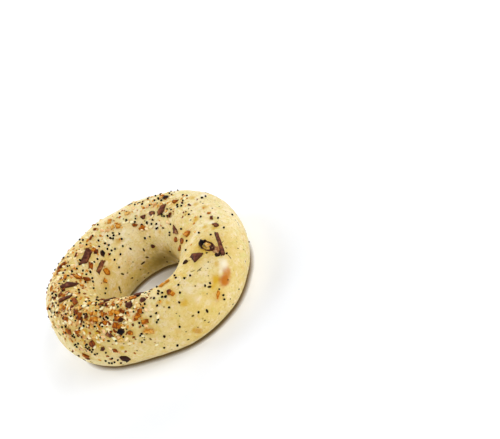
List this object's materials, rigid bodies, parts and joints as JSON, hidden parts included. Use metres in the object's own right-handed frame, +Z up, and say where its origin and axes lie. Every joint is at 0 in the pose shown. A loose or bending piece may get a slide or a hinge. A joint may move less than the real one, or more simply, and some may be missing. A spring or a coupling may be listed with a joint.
{
  "type": "everything bagel",
  "caption": "Hand-shaped bagel: a pale boiled dough ring, lopsided with a round hole and a flat underside, crusted on one side with poppy, sesame, garlic and onion",
  "frame": {"origin": "on the surface that the bagel lies on, under the middle of its outline", "axes": "+Z up out of the crown, +X along the widest way across the ring towards its thick, barely seeded end, +Y across the ring"},
  "size_m": [0.1089, 0.1027, 0.0407],
  "materials": {
    "crust": "satin"
  },
  "bodies": {
    "root": {"bagel": "crust"}
  },
  "joints": []
}
